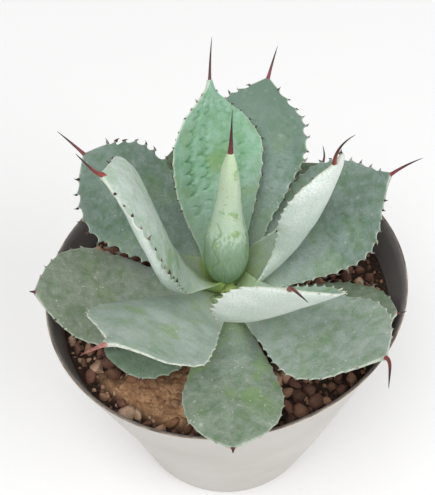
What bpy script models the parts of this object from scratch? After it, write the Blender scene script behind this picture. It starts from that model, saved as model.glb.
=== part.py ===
"""A potted agave: a rosette of spined leaves on a short stem, in a thin round pot.

Metres, +Z up. The origin is the middle of the pot's underside; -Y is the front.
Every leaf is one solid, from its neck at the stem to the point of its end spine.
"""
import math
from collections import namedtuple

import bmesh
import bpy
from mathutils import Vector

MM = 0.001

# Driving dimensions, in millimetres and degrees
POT_HEIGHT = 125.0
POT_RIM_RADIUS = 75.0
POT_FOOT_RADIUS = 48.0
POT_WALL = 1.2
POT_FLOOR = 2.0
COLLAR_HEIGHT = 5.0
COLLAR_PROUD = 0.7
RIM_OVAL = 0.05             # the thin rim is pushed out of round by this share
RIM_OVAL_TURN = 26.0        # long axis of the pushed rim, from +X
RIM_OVAL_FADE = 90.0        # depth below the rim where the pot is round again
DRAIN_HOLES = 8
DRAIN_HOLE_RADIUS = 4.0
DRAIN_RING_RADIUS = 32.0
HEADSPACE = 15.5            # from the rim down to the top of the mix
MIX_CLEARANCE = 0.4         # between the mix and the pot or the stem
STEM_RADIUS = 7.2
STEM_BURIED = 22.0
STEM_CLEARANCE = 0.3        # between the stem and each leaf's neck
BLADE_THICKNESS = 3.6       # on the midrib at the neck
MARGIN_THICKNESS = 0.9
NECK_WIDTH = 8.5
SPINE_RADIUS = 1.15

# The rosette grows in proportion to the pot. The table of leaves is drawn for these sizes
DRAWN_RIM_RADIUS = 75.0
DRAWN_NECK_WIDTH = 8.5
DRAWN_BLADE_THICKNESS = 3.6
GROWTH = POT_RIM_RADIUS / DRAWN_RIM_RADIUS
# Wider necks, thicker blades or a larger plant need a taller stem to stand clear of each other
STEM_STRETCH = GROWTH * (NECK_WIDTH / DRAWN_NECK_WIDTH) * (BLADE_THICKNESS / DRAWN_BLADE_THICKNESS)
MIX_TOP = POT_HEIGHT - HEADSPACE
STEM_HEIGHT = 14.8          # over the mix
STEM_TOP = MIX_TOP + STEM_HEIGHT * STEM_STRETCH

LEAF_ROWS = 17
SPINE_ROWS = 5
ACROSS = 8

# Turn round the stem from +X, height of the neck over the mix, rise of the midrib at the neck and
# at the tip, blade length and width, roll at the neck and at the tip, cup of each half, sideways
# swing, the end spine's bend, swing and length, bluntness of the tip, arch of the midrib
Leaf = namedtuple("Leaf", "turn height rise0 rise1 length width roll0 roll1 cup_left cup_right "
                          "swing spine_bend spine_swing spine_length blunt arch")

# One row for each leaf, youngest first
LEAVES = [
    Leaf(102, 14.0, 58, 48, 81, 49, -11, 57, 25, 24, -13, -1, -7, 17, -0.8, 0),
    Leaf(297, 12.5, 30, 82, 78, 50, 18, -20, 25, 32, -14, -72, 10, 19, 0.7, 0),
    Leaf(15, 13.5, 31, 95, 78, 45, 4, -40, 74, 104, -18, -49, -10, 18, 0.8, 0),
    Leaf(183, 12.5, 30, 36, 89, 55, 27, 1, -25, 4, 12, 16, 0, 18, -1.0, 45),
    Leaf(79, 8.5, 40, 29, 88, 52, -8, 6, 28, 33, -6, -4, -3, 16, -0.3, 0),
    Leaf(231, 9.0, 34, 39, 79, 54, -7, -1, 10, -39, 1, 2, 9, 16, -1.0, 0),
    Leaf(320, 8.0, 16, 34, 78, 51, 2, -2, -5, 8, -7, -80, -45, 17, -0.2, 0),
    Leaf(26, 6.5, 28, 43, 80, 53, 8, -6, 14, -4, -15, -10, -13, 15, -0.5, 0),
    Leaf(143, 7.0, 26, 41, 79, 52, 9, -10, 10, -4, 13, -1, 5, 15, 0.6, 0),
    Leaf(193, 5.5, 12, 31, 78, 51, 6, 1, 1, 10, 2, 0, 0, 2.5, 0.2, 0),
    Leaf(272, 5.5, 14, 21, 79, 40, -3, 5, -15, -5, -4, 0, 0, 2.5, 0.9, 0),
    Leaf(342, 2.5, 11, 16, 67, 43, -1, -18, -10, 22, 10, 40, 20, 6, 0.6, 0),
    Leaf(51, 2.5, 19, 26, 67, 48, 0, 0, 25, 25, 2, 40, 80, 9, 0.0, 0),
    Leaf(107, 1.0, 18, 16, 71, 48, 4, -2, 23, 19, 3, 0, 0, 4, -0.3, 0),
    Leaf(220, 1.5, 18, 9, 56, 42, 3, 1, 9, 15, -14, 0, 0, 3, 0.7, 0),
]

# Furled bud: (height over the stem's top, radius), in millimetres
BUD_PROFILE = [(0.3, 3.0), (1.2, 4.6), (4.0, 6.9), (8.5, 8.6), (16.5, 9.4), (25.5, 8.8), (34.0, 7.0),
               (44.0, 5.1), (54.0, 4.3), (62.0, 3.5), (68.0, 2.2), (70.5, 1.3), (78.0, 0.8), (86.0, 0.4)]
BUD_POINT = 90.0
BUD_LEAN_BACK = 0.14        # sideways shift for each millimetre of height
BUD_LEAN_RIGHT = 0.022
BUD_FOOT_X = -1.2
BUD_SIDES = 20
POT_SIDES = 72


def clear_scene():
    for old in list(bpy.data.objects):
        bpy.data.objects.remove(old, do_unlink=True)


def make_material(name, colour, roughness):
    material = bpy.data.materials.new(name)
    material.use_nodes = True
    shader = material.node_tree.nodes["Principled BSDF"]
    shader.inputs["Base Color"].default_value = (*colour, 1.0)
    shader.inputs["Roughness"].default_value = roughness
    shader.inputs["Metallic"].default_value = 0.0
    return material


def make_object(name, points, faces, material, smooth=True):
    """Mesh object from points in millimetres; normals are made to face outward."""
    mesh = bpy.data.meshes.new(name)
    mesh.from_pydata([Vector(p) * MM for p in points], [], faces)
    work = bmesh.new()
    work.from_mesh(mesh)
    bmesh.ops.recalc_face_normals(work, faces=work.faces)
    work.to_mesh(mesh)
    work.free()
    if smooth:
        mesh.shade_smooth()
    obj = bpy.data.objects.new(name, mesh)
    obj.data.materials.append(material)
    bpy.context.scene.collection.objects.link(obj)
    return obj


def loft(rings):
    """Points and faces of a tube through rings of equal size, closed by a fan at each end."""
    count = len(rings[0])
    points = [p for ring in rings for p in ring]
    faces = []
    for row in range(len(rings) - 1):
        for i in range(count):
            j = (i + 1) % count
            a = row * count
            b = a + count
            faces.append((a + i, a + j, b + j, b + i))
    for start in (0, (len(rings) - 1) * count):
        middle = sum((Vector(p) for p in points[start:start + count]), Vector()) / count
        points.append(middle)
        hub = len(points) - 1
        faces.extend((start + i, start + (i + 1) % count, hub) for i in range(count))
    return points, faces


# ---- leaves ----

def width_share(s, neck, blunt):
    """Share of the full width at s along the blade, from smoothed straight steps."""
    knots = [(0.0, neck), (0.12, 0.5 * neck + 0.21), (0.3, 0.60), (0.5, 0.88), (0.66, 1.0),
             (0.8, 0.87 + 0.08 * blunt), (0.9, 0.56 + 0.22 * blunt), (0.96, 0.27 + 0.18 * blunt), (1.0, 0.05)]
    slopes = knot_slopes(knots)
    for k in range(len(knots) - 1):
        (x0, y0), (x1, y1) = knots[k], knots[k + 1]
        if s <= x1:
            h = x1 - x0
            t = (s - x0) / h
            lead = (1 + 2 * t) * (1 - t) ** 2 * y0 + t * (1 - t) ** 2 * h * slopes[k]
            tail = t * t * (3 - 2 * t) * y1 + t * t * (t - 1) * h * slopes[k + 1]
            return lead + tail
    return knots[-1][1]


def knot_slopes(knots):
    """Slopes for a smooth curve through the knots that never overshoots them."""
    steps = [(b[1] - a[1]) / (b[0] - a[0]) for a, b in zip(knots, knots[1:])]
    inner = []
    for a, b in zip(steps, steps[1:]):
        inner.append(0.0 if a * b <= 0 else 2 * a * b / (a + b))
    return [steps[0]] + inner + [steps[-1]]


def along(turn, rise):
    """Unit vector at a turn from +X and a rise over the horizontal, both in radians."""
    return Vector((math.cos(rise) * math.cos(turn), math.cos(rise) * math.sin(turn), math.sin(rise)))


def blade_frames(leaf):
    """Midrib points with direction, side and upper normal, from the neck to the tip."""
    root = math.radians(leaf.turn)
    reach = STEM_RADIUS + STEM_CLEARANCE
    place = Vector((reach * math.cos(root), reach * math.sin(root), MIX_TOP + leaf.height * STEM_STRETCH))
    step = leaf.length * GROWTH / (LEAF_ROWS - 1)
    frames = []
    for k in range(LEAF_ROWS):
        s = k / (LEAF_ROWS - 1)
        heading = math.radians(leaf.turn + leaf.swing * s * s)
        rise = leaf.rise0 + (leaf.rise1 - leaf.rise0) * s + leaf.arch * 4 * s * (1 - s)
        forward = along(heading, math.radians(rise))
        if k:
            place = place + (forward + frames[-1][1]).normalized() * step
        level = Vector((-math.sin(heading), math.cos(heading), 0.0))
        over = forward.cross(level)
        roll = math.radians(leaf.roll0 + (leaf.roll1 - leaf.roll0) * s)
        side = math.cos(roll) * level + math.sin(roll) * over
        upper = math.cos(roll) * over - math.sin(roll) * level
        frames.append((place, forward, side, upper))
    return frames


def blade_section(s, u, frame, leaf):
    """Point on the middle of the blade's thickness and the normal there, u from -1 to 1."""
    place, _, side, upper = frame
    half_width = 0.5 * leaf.width * GROWTH * width_share(s, NECK_WIDTH / leaf.width, leaf.blunt)
    cup = math.radians(leaf.cup_left if u > 0 else leaf.cup_right) * (0.35 + 0.65 * math.sin(math.pi * s ** 0.8))
    if abs(cup) < 0.001:
        cup = 0.001
    bend = cup * abs(u)
    sign = 1.0 if u >= 0 else -1.0
    across = sign * half_width * math.sin(bend) / cup
    rise = half_width * (1 - math.cos(bend)) / cup
    normal = math.cos(bend) * upper - sign * math.sin(bend) * side
    return place + across * side + rise * upper, normal


def half_thickness(s, u):
    middle = BLADE_THICKNESS * (1 - 0.28 * s) - 0.8 * max(s - 0.7, 0.0)
    return 0.5 * (MARGIN_THICKNESS + (middle - MARGIN_THICKNESS) * (1 - abs(u) ** 2.2))


def blade_rings(leaf, frames):
    rings = []
    for k, frame in enumerate(frames):
        s = k / (LEAF_ROWS - 1)
        top = []
        bottom = []
        for i in range(ACROSS):
            u = -1 + 2 * i / (ACROSS - 1)
            point, normal = blade_section(s, u, frame, leaf)
            half = half_thickness(s, u)
            top.append(point + normal * half)
            bottom.append(point - normal * half)
        rings.append(top + bottom[::-1])
    rings[0] = flat_neck(rings[0], frames[0], leaf)
    return rings


def flat_neck(ring, frame, leaf):
    """Slide the neck's end along the blade until it lies flat beside the stem."""
    turn = math.radians(leaf.turn)
    outward = Vector((math.cos(turn), math.sin(turn), 0.0))
    forward = frame[1]
    reach = STEM_RADIUS + STEM_CLEARANCE
    return [p + forward * ((reach - p.dot(outward)) / forward.dot(outward)) for p in ring]


def spine_rings(leaf, tip_frame):
    """Round rings that carry the tip on into a bent, tapering spine."""
    place, _, side, upper = tip_frame
    rise = math.radians(leaf.rise1)
    heading = math.radians(leaf.turn + leaf.swing)
    step = leaf.spine_length * GROWTH / SPINE_ROWS
    before = along(heading, rise)
    rings = []
    for k in range(1, SPINE_ROWS + 1):
        t = k / SPINE_ROWS
        forward = along(heading + math.radians(leaf.spine_swing) * t, rise + math.radians(leaf.spine_bend) * t)
        place = place + (forward + before).normalized() * step
        before = forward
        out = (side - forward * side.dot(forward)).normalized()
        up = out.cross(forward)
        if up.dot(upper) < 0:
            up = -up
        radius = SPINE_RADIUS * (1 - t) ** 0.8 + 0.12
        ring = []
        for i in range(2 * ACROSS):
            angle = math.pi - (i + 0.5) * math.pi / ACROSS
            ring.append(place + out * (radius * math.cos(angle)) + up * (radius * math.sin(angle)))
        rings.append(ring)
    return rings


def make_leaf(name, leaf, material):
    frames = blade_frames(leaf)
    rings = blade_rings(leaf, frames) + spine_rings(leaf, frames[-1])
    points, faces = loft(rings)
    return make_object(name, points, faces, material)


# ---- bud and stem ----

def bud_axis(height):
    return Vector((BUD_FOOT_X + BUD_LEAN_RIGHT * height, BUD_LEAN_BACK * height, STEM_TOP + height))


def make_bud(material):
    rings = []
    for height, radius in BUD_PROFILE:
        middle = bud_axis(height)
        ring = []
        for i in range(BUD_SIDES):
            angle = 2 * math.pi * i / BUD_SIDES
            ring.append(middle + Vector((radius * math.cos(angle), radius * math.sin(angle), 0.0)))
        rings.append(ring)
    points, faces = loft(rings)
    points[-1] = bud_axis(BUD_POINT)
    return make_object("centre_bud", points, faces, material)


def round_ring(radius, height, sides):
    return [(radius * math.cos(2 * math.pi * i / sides), radius * math.sin(2 * math.pi * i / sides), height)
            for i in range(sides)]


def make_stem(material):
    foot = MIX_TOP - STEM_BURIED
    profile = [(STEM_RADIUS - 2.0, foot), (STEM_RADIUS, foot + 3.0), (STEM_RADIUS, STEM_TOP - 1.0),
               (STEM_RADIUS - 1.0, STEM_TOP)]
    rings = [round_ring(radius, height, 32) for radius, height in profile]
    points, faces = loft(rings)
    return make_object("stem", points, faces, material)


# ---- pot and mix ----

def oval_share(height, angle):
    """How far the wall is pushed in or out at a height, as a share of its radius."""
    fade = min(max(1 - (POT_HEIGHT - height) / RIM_OVAL_FADE, 0.0), 1.0)
    fade = fade * fade * (3 - 2 * fade)
    return 1 + RIM_OVAL * fade * math.cos(2 * (angle - math.radians(RIM_OVAL_TURN)))


def wall_radius(height):
    """Outer radius of the round, tapered wall."""
    return POT_FOOT_RADIUS + (POT_RIM_RADIUS - POT_FOOT_RADIUS) * height / POT_HEIGHT


def pot_ring(radius, height):
    ring = []
    for i in range(POT_SIDES):
        angle = 2 * math.pi * i / POT_SIDES
        r = radius * oval_share(height, angle)
        ring.append((r * math.cos(angle), r * math.sin(angle), height))
    return ring


def wall_heights(low, high, rows):
    return [low + (high - low) * k / rows for k in range(rows + 1)]


def drain_cutter():
    """Upright rods in a ring, away from the solid middle of the pot's floor."""
    points = []
    faces = []
    for hole in range(DRAIN_HOLES):
        angle = 2 * math.pi * hole / DRAIN_HOLES
        x = DRAIN_RING_RADIUS * math.cos(angle)
        y = DRAIN_RING_RADIUS * math.sin(angle)
        rings = [[(x + px, y + py, pz) for px, py, pz in round_ring(DRAIN_HOLE_RADIUS, height, 16)]
                 for height in (-5.0, POT_FLOOR + 5.0)]
        rod_points, rod_faces = loft(rings)
        first = len(points)
        points.extend(rod_points)
        faces.extend(tuple(first + i for i in face) for face in rod_faces)
    cutter = make_object("drain_cutter", points, faces, make_material("cutter", (0.5, 0.5, 0.5), 0.5), False)
    cutter.hide_render = True
    cutter.display_type = "WIRE"
    return cutter


def make_pot(material):
    collar_foot = POT_HEIGHT - COLLAR_HEIGHT
    rings = [pot_ring(0.5 * POT_FOOT_RADIUS, 0.0), pot_ring(wall_radius(0.0) - 0.8, 0.0)]
    rings += [pot_ring(wall_radius(z), z) for z in wall_heights(0.8, collar_foot, 7)]
    rings += [pot_ring(wall_radius(z) + COLLAR_PROUD, z) for z in (collar_foot + 0.5, POT_HEIGHT - 0.4)]
    rings += [pot_ring(wall_radius(POT_HEIGHT), POT_HEIGHT)]
    rings += [pot_ring(wall_radius(POT_HEIGHT) - POT_WALL, POT_HEIGHT - 0.4)]
    rings += [pot_ring(wall_radius(z) - POT_WALL, z) for z in wall_heights(POT_FLOOR, POT_HEIGHT - 6.0, 7)[::-1]]
    rings += [pot_ring(0.5 * POT_FOOT_RADIUS, POT_FLOOR)]
    points, faces = loft(rings)
    pot = make_object("pot", points, faces, material)
    cut = pot.modifiers.new("drain_holes", "BOOLEAN")
    cut.operation = "DIFFERENCE"
    cut.solver = "EXACT"
    cut.object = drain_cutter()
    return pot


def make_mix(material):
    """The mix fills the pot up to the headspace, with a pocket that holds the stem."""
    floor = POT_FLOOR + MIX_CLEARANCE
    inset = POT_WALL + MIX_CLEARANCE
    pocket = STEM_RADIUS + MIX_CLEARANCE
    pocket_foot = MIX_TOP - STEM_BURIED - MIX_CLEARANCE
    rings = [pot_ring(0.5 * POT_FOOT_RADIUS, floor)]
    rings += [pot_ring(wall_radius(z) - inset, z) for z in wall_heights(floor, MIX_TOP - 1.0, 6)]
    rings += [pot_ring(wall_radius(MIX_TOP) - inset - 2.0, MIX_TOP - 0.3)]
    rings += [pot_ring(0.5 * POT_RIM_RADIUS, MIX_TOP), pot_ring(2.0 * STEM_RADIUS, MIX_TOP - 2.0)]
    rings += [round_ring(pocket, MIX_TOP - 3.0, POT_SIDES), round_ring(pocket, pocket_foot, POT_SIDES)]
    points, faces = loft(rings)
    return make_object("potting_mix", points, faces, material)


def main():
    clear_scene()
    plastic = make_material("pot_plastic", (0.78, 0.76, 0.72), 0.45)
    grit = make_material("mix_grit", (0.17, 0.10, 0.06), 0.95)
    bark = make_material("stem_bark", (0.30, 0.33, 0.18), 0.8)
    skin = make_material("leaf_skin", (0.24, 0.36, 0.29), 0.6)
    young = make_material("bud_skin", (0.36, 0.50, 0.36), 0.6)
    make_pot(plastic)
    make_mix(grit)
    make_stem(bark)
    make_bud(young)
    for number, leaf in enumerate(LEAVES, start=1):
        make_leaf(f"leaf_{number:02d}", leaf, skin)


main()
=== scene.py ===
"""A potted agave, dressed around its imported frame: leaves, spines, teeth, mix, grains and pot.

Metres, +Z up. Plant shapes are worked out in millimetres and scaled as each mesh is made.
"""
import functools
import math

import bmesh
import bpy
import numpy as np
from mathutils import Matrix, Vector, noise


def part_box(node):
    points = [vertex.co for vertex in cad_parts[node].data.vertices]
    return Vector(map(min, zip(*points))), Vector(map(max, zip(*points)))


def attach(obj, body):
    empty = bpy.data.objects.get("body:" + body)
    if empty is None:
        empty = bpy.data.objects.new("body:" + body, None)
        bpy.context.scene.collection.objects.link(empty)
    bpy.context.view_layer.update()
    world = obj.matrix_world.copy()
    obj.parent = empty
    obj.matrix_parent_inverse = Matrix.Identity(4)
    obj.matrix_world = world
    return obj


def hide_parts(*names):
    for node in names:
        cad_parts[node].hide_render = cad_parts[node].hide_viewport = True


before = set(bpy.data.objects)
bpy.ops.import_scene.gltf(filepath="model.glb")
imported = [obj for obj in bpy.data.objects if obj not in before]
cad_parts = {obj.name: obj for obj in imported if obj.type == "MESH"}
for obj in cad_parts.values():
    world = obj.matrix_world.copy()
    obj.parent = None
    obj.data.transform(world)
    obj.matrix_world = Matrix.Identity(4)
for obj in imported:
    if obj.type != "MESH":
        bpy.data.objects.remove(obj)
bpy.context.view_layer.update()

MM = 0.001
BODY = "root"

# The pot and the mix, in millimetres, as the frame has them
POT_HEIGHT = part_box("pot")[1][2] / MM
POT_RIM_RADIUS = 75.0
POT_FOOT_RADIUS = 48.0
POT_WALL = 1.2
POT_FLOOR = 2.0
RIM_OVAL = 0.05
RIM_OVAL_TURN = math.radians(26.0)
RIM_OVAL_FADE = 90.0
DRAIN_HOLES = 8
DRAIN_HOLE_RADIUS = 4.0
DRAIN_RING_RADIUS = 32.0
MIX_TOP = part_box("potting_mix")[1][2] / MM
STEM_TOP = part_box("stem")[1][2] / MM
STEM_RADIUS = 7.2
MIX_CLEARANCE = 0.4

# Leaves
BLADE_THICKNESS = 3.6
MARGIN_THICKNESS = 0.8
TOOTH_PITCH = 5.2
SPINE_RADIUS = 1.1
BLADE_ROWS = 190
BLADE_COLUMNS = 48
CURL_START = 0.45              # share of the half width where an edge starts to roll
# Edges that roll back under the blade: side, and degrees gained from there to the margin
CURLS = {4: (-1, -60.0)}
# Edges that fold over onto the upper face, or that stay narrow: side, width gained in millimetres,
# degrees
FOLDS = {3: (1, -8.5, 0.0), 4: (1, 5.0, 160.0)}
QUICK_SPINES = (2, 4, 7)       # these bend at the foot, not along their length
TOOTH = {"Tooth Length": 0.0010, "Tooth Radius": 0.00042}

# Bud: its radius at each height over the stem
BUD_PROFILE = [(0.3, 1.6), (1.2, 2.8), (4.0, 5.2), (8.5, 7.9), (16.5, 9.4), (25.5, 8.9), (34.0, 7.0),
               (44.0, 5.2), (54.0, 4.2), (62.0, 3.3), (68.0, 1.9), (70.5, 1.15)]
BUD_HEIGHT = 70.5
BUD_SPINE_FOOT = 68.5
BUD_POINT = 90.0
BUD_SPINE_REDNESS = 0.3

# Mix
CLAY_TURN = math.radians(243.0)  # where the lump of set clay lies
LARGE_GRAINS = {"Spacing": 0.0045, "Density": 90000.0, "Smallest": 0.0021, "Largest": 0.0039,
                "Roughness": 0.0042, "Seed": 4}
SMALL_GRAINS = {"Spacing": 0.0021, "Density": 250000.0, "Smallest": 0.0007, "Largest": 0.0015,
                "Roughness": 0.0016, "Seed": 9}

# Degrees and millimetres: each leaf's turn round the stem, its neck's height over the mix, the
# midrib's rise and roll at the neck and at the tip, how far each half is cupped, the end spine's bend,
# swing and length, the tip's bluntness and the midrib's arch
SHAPE_FIELDS = ("turn height rise0 rise1 length width roll0 roll1 cup_left cup_right swing "
                "spine_bend spine_swing spine_length blunt arch").split()

# One row for each leaf, youngest first
LEAVES = [
    (102, 14.0, 58, 48, 81, 49, -11, 57, 25, 24, -13, -1, -7, 17, -0.8, 0),
    (297, 12.5, 30, 82, 78, 50, 18, -20, 22, 32, -14, -48, 8, 18, 0.9, 0),
    (15, 13.5, 31, 95, 78, 45, 4, -40, 92, 104, -18, -49, -10, 18, 0.8, 0),
    (183, 12.2, 30, 36, 89, 55, 27, 1, -25, 4, 12, 30, 12, 17, -0.3, 45),
    (79, 8.5, 40, 29, 88, 52, -8, 6, 36, 42, -6, -4, -3, 16, -0.3, 0),
    (231, 9.0, 34, 39, 79, 54, -7, -1, 10, -39, 1, 2, 9, 16, -1.0, 0),
    (320, 8.0, 16, 34, 78, 51, 2, -2, -5, 8, -7, -21, -55, 16, -0.2, 0),
    (26, 6.5, 28, 43, 80, 53, 8, -6, 14, -4, -15, -10, -13, 15, -0.5, 0),
    (143, 7.0, 26, 41, 79, 52, 9, -10, 10, -4, 13, -1, 5, 15, 0.2, 0),
    (193, 5.5, 12, 31, 78, 51, 6, 1, 1, 10, 2, 0, 0, 2.5, 0.2, 0),
    (272, 5.5, 14, 21, 79, 40, -3, 5, -15, -5, -4, 0, 0, 2.5, 0.3, 0),
    (342, 2.5, 11, 16, 67, 43, -1, -18, -10, 22, 10, 20, 10, 4, 0.6, 0),
    (51, 2.5, 19, 26, 67, 48, 0, 0, 25, 25, 2, 40, 80, 9, 0.0, 0),
    (107, 1.0, 18, 16, 71, 48, 4, -2, 23, 19, 3, 0, 0, 4, -0.3, 0),
    (220, 1.5, 18, 9, 56, 42, 3, 1, 9, 15, -14, 0, 0, 3, 0.7, 0),
]

# Colours, millimetres and shares. Specks are lime, prints are the dents of the bud, and a redness of 2
# is a bleached end spine. The tip shade is painted shade that darkens a leaf towards its tip.
LOOK_FIELDS = ("inner_face outer_face specks prints yellowing neck_width scallop_depth tooth_length "
               "tooth_paleness redness margin_paleness mottling tip_shade").split()

# How each leaf looks, in the same order
LOOKS = [
    ("#97BCA5", "#BFD2C5", 0.10, 0.90, 0.60, 22, 0.55, 1.2, 0.10, 0.10, 0.80, 0.7, 0.0),
    ("#A9BDAE", "#EEF3EE", 0.05, 0.16, 0.40, 24, 0.9, 0.9, 0.80, 0.85, 0.90, 0.8, 0.0),
    ("#94A68F", "#F2F8F4", 0.08, 0.22, 0.50, 24, 0.5, 1.2, 0.20, 0.90, 0.80, 0.8, 0.0),
    ("#C5D0CA", "#CBD4CD", 0.08, 0.22, 0.60, 26, 0.9, 1.5, 0.05, 0.95, 0.90, 0.6, 0.0),
    ("#8A9F96", "#BCC9C2", 0.15, 0.60, 0.40, 24, 1.4, 1.4, 0.10, 0.55, 0.45, 1.2, 1.0),
    ("#ABB6AF", "#DCE3DD", 0.08, 0.10, 0.45, 24, 0.35, 0.8, 0.60, 2.00, 0.95, 0.45, 0.0),
    ("#A3AFA6", "#B4C0B2", 0.90, 0.08, 0.25, 22, 0.7, 0.9, 0.35, 0.60, 0.60, 1.0, 0.30),
    ("#899A92", "#A9B7AC", 0.50, 0.14, 0.25, 22, 1.0, 1.4, 0.10, 0.60, 0.55, 1.2, 0.25),
    ("#889A91", "#A9B7AF", 0.40, 0.16, 0.25, 22, 1.7, 1.8, 0.05, 0.60, 0.45, 1.3, 0.45),
    ("#8E9787", "#A6B2A2", 0.80, 0.06, 0.20, 20, 0.5, 1.1, 0.20, 0.30, 0.45, 1.1, 0.25),
    ("#8C9989", "#A9B5A4", 1.00, 0.06, 0.70, 15, 0.3, 0.8, 0.30, 0.40, 0.40, 1.2, 0.2),
    ("#7E8C78", "#A5B19F", 0.40, 0.05, 0.20, 16, 0.9, 1.4, 0.20, 0.05, 0.60, 1.0, 0.0),
    ("#6B7A66", "#9AA896", 0.35, 0.05, 0.20, 15, 0.9, 1.3, 0.15, 0.05, 0.40, 1.0, 0.0),
    ("#66745F", "#8F9D8A", 0.30, 0.05, 0.20, 14, 0.9, 1.3, 0.15, 0.05, 0.40, 1.0, 0.0),
    ("#788A78", "#94A394", 0.15, 0.05, 0.20, 13, 1.0, 1.6, 0.05, 0.05, 0.25, 0.7, 0.0),
]

CAMERA_RISE = math.radians(54.0)
CAMERA_DISTANCE = 0.380
CAMERA_LENS = 62.5
CAMERA_AIM = Vector((-0.0045, 0.017, 0.125))


# ---- small helpers ----

def linear(hex_colour):
    """sRGB hex to a linear colour with full alpha."""
    values = []
    for k in (1, 3, 5):
        c = int(hex_colour[k:k + 2], 16) / 255.0
        values.append(c / 12.92 if c <= 0.04045 else ((c + 0.055) / 1.055) ** 2.4)
    return (*values, 1.0)


def feed(tree, socket, value):
    """Give an input a value or an sRGB hex colour, or link a socket or a node's first live output."""
    if isinstance(value, bpy.types.Node):
        value = next(output for output in value.outputs if output.enabled)
    if isinstance(value, bpy.types.NodeSocket):
        tree.links.new(value, socket)
    else:
        socket.default_value = linear(value) if isinstance(value, str) and value[0] == "#" else value


def add_node(tree, kind, inputs=(), stops=(), **settings):
    """A node with its settings, its inputs as a list in order or by name, and its colour stops."""
    made = tree.nodes.new(kind)
    for key, value in settings.items():
        setattr(made, key, value)
    for key, value in inputs.items() if isinstance(inputs, dict) else enumerate(inputs):
        feed(tree, made.inputs[key], value)
    for k, (place, colour) in enumerate(stops):
        elements = made.color_ramp.elements
        element = elements[k] if k < len(elements) else elements.new(1.0)
        element.position, element.color = place, linear(colour)
    return made


def mesh_object(name, points_mm, faces, materials=(), face_slots=None):
    mesh = bpy.data.meshes.new(name)
    mesh.from_pydata((np.asarray(points_mm, dtype=float) * MM).tolist(), [], faces)
    mesh.shade_smooth()
    for material in materials:
        mesh.materials.append(material)
    if face_slots is not None:
        mesh.polygons.foreach_set("material_index", np.asarray(face_slots, dtype=np.int32))
    mesh.update()
    obj = bpy.data.objects.new(name, mesh)
    bpy.context.scene.collection.objects.link(obj)
    return obj


def point_values(obj, **named):
    """Store one number, or one vector, for each point of a mesh, under each name."""
    for name, values in named.items():
        values = np.asarray(values, dtype=np.float32)
        kind, field = ("FLOAT_VECTOR", "vector") if values.ndim == 2 else ("FLOAT", "value")
        obj.data.attributes.new(name, kind, "POINT").data.foreach_set(field, values.ravel())


def ring_faces(rows, count, first=0):
    """Quads between closed rings of equal size, laid out row after row."""
    return [(a + i, a + (i + 1) % count, a + count + (i + 1) % count, a + count + i)
            for a in range(first, first + (rows - 1) * count, count) for i in range(count)]


def close_tube(first, rows, count, hub):
    """Faces of a tube that starts at a point index, closed at each end on a hub point."""
    last = first + (rows - 1) * count
    return (ring_faces(rows, count, first)
            + [(first + (i + 1) % count, first + i, hub) for i in range(count)]
            + [(last + i, last + (i + 1) % count, hub + 1) for i in range(count)])


def finish_piece(obj, slot, *nodes):
    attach(obj, BODY)
    if nodes:
        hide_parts(*nodes)


def outward(obj):
    """Make a closed mesh's faces point out."""
    work = bmesh.new()
    work.from_mesh(obj.data)
    bmesh.ops.recalc_face_normals(work, faces=work.faces)
    work.to_mesh(obj.data)
    work.free()


def settle(obj, modifier):
    """Keep only the plain mesh that an object's modifier makes."""
    depsgraph = bpy.context.evaluated_depsgraph_get()
    result = bpy.data.meshes.new_from_object(obj.evaluated_get(depsgraph), depsgraph=depsgraph)
    result.name = obj.name
    obj.modifiers.remove(modifier)
    obj.data = result


def new_growth(name, values):
    """An empty Geometry Nodes tree, what adds its nodes, and its inputs, one for each named value."""
    tree = bpy.data.node_groups.new(name, "GeometryNodeTree")
    tree.interface.new_socket("Geometry", in_out="INPUT", socket_type="NodeSocketGeometry")
    for label, value in values.items():
        kind = "NodeSocketInt" if isinstance(value, int) else "NodeSocketFloat"
        tree.interface.new_socket(label, in_out="INPUT", socket_type=kind).default_value = value
    tree.interface.new_socket("Geometry", in_out="OUTPUT", socket_type="NodeSocketGeometry")
    add = functools.partial(add_node, tree)
    return tree, add, add("NodeGroupInput").outputs


def end_growth(add, geometry, material):
    smooth = add("GeometryNodeSetShadeSmooth", [geometry])
    add("NodeGroupOutput", [add("GeometryNodeSetMaterial", {0: smooth, "Material": material})])


def grow(obj, tree, values):
    """Run a Geometry Nodes tree on an object once."""
    modifier = obj.modifiers.new("grow", "NODES")
    modifier.node_group = tree
    for item in tree.interface.items_tree:
        if item.item_type == "SOCKET" and item.in_out == "INPUT" and item.name in values:
            modifier[item.identifier] = values[item.name]
    settle(obj, modifier)


# ---- leaf shape ----

def smooth_curve(knots, x):
    """A curve through the knots that never overshoots them, at every x of an array."""
    xs = np.array([k[0] for k in knots])
    ys = np.array([k[1] for k in knots])
    steps = np.diff(ys) / np.diff(xs)
    both, total = steps[:-1] * steps[1:], steps[:-1] + steps[1:]
    inner = np.where(both <= 0, 0.0, 2 * both / np.where(total == 0, 1, total))
    slopes = np.concatenate([steps[:1], inner, steps[-1:]])
    k = np.clip(np.searchsorted(xs, x, side="right") - 1, 0, len(xs) - 2)
    h = xs[k + 1] - xs[k]
    t = (x - xs[k]) / h
    lead = (1 + 2 * t) * (1 - t) ** 2 * ys[k] + t * (1 - t) ** 2 * h * slopes[k]
    tail = t * t * (3 - 2 * t) * ys[k + 1] + t * t * (t - 1) * h * slopes[k + 1]
    return lead + tail


def width_share(s, neck, blunt):
    """The blade's width along the midrib, as a share of its full width."""
    knots = [(0.0, neck), (0.12, 0.5 * neck + 0.21), (0.3, 0.62), (0.5, 0.88), (0.66, 1.0),
             (0.8, 0.87 + 0.08 * blunt), (0.9, 0.56 + 0.22 * blunt), (0.96, 0.27 + 0.18 * blunt),
             (1.0, 0.05)]
    return smooth_curve(knots, s)


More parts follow.
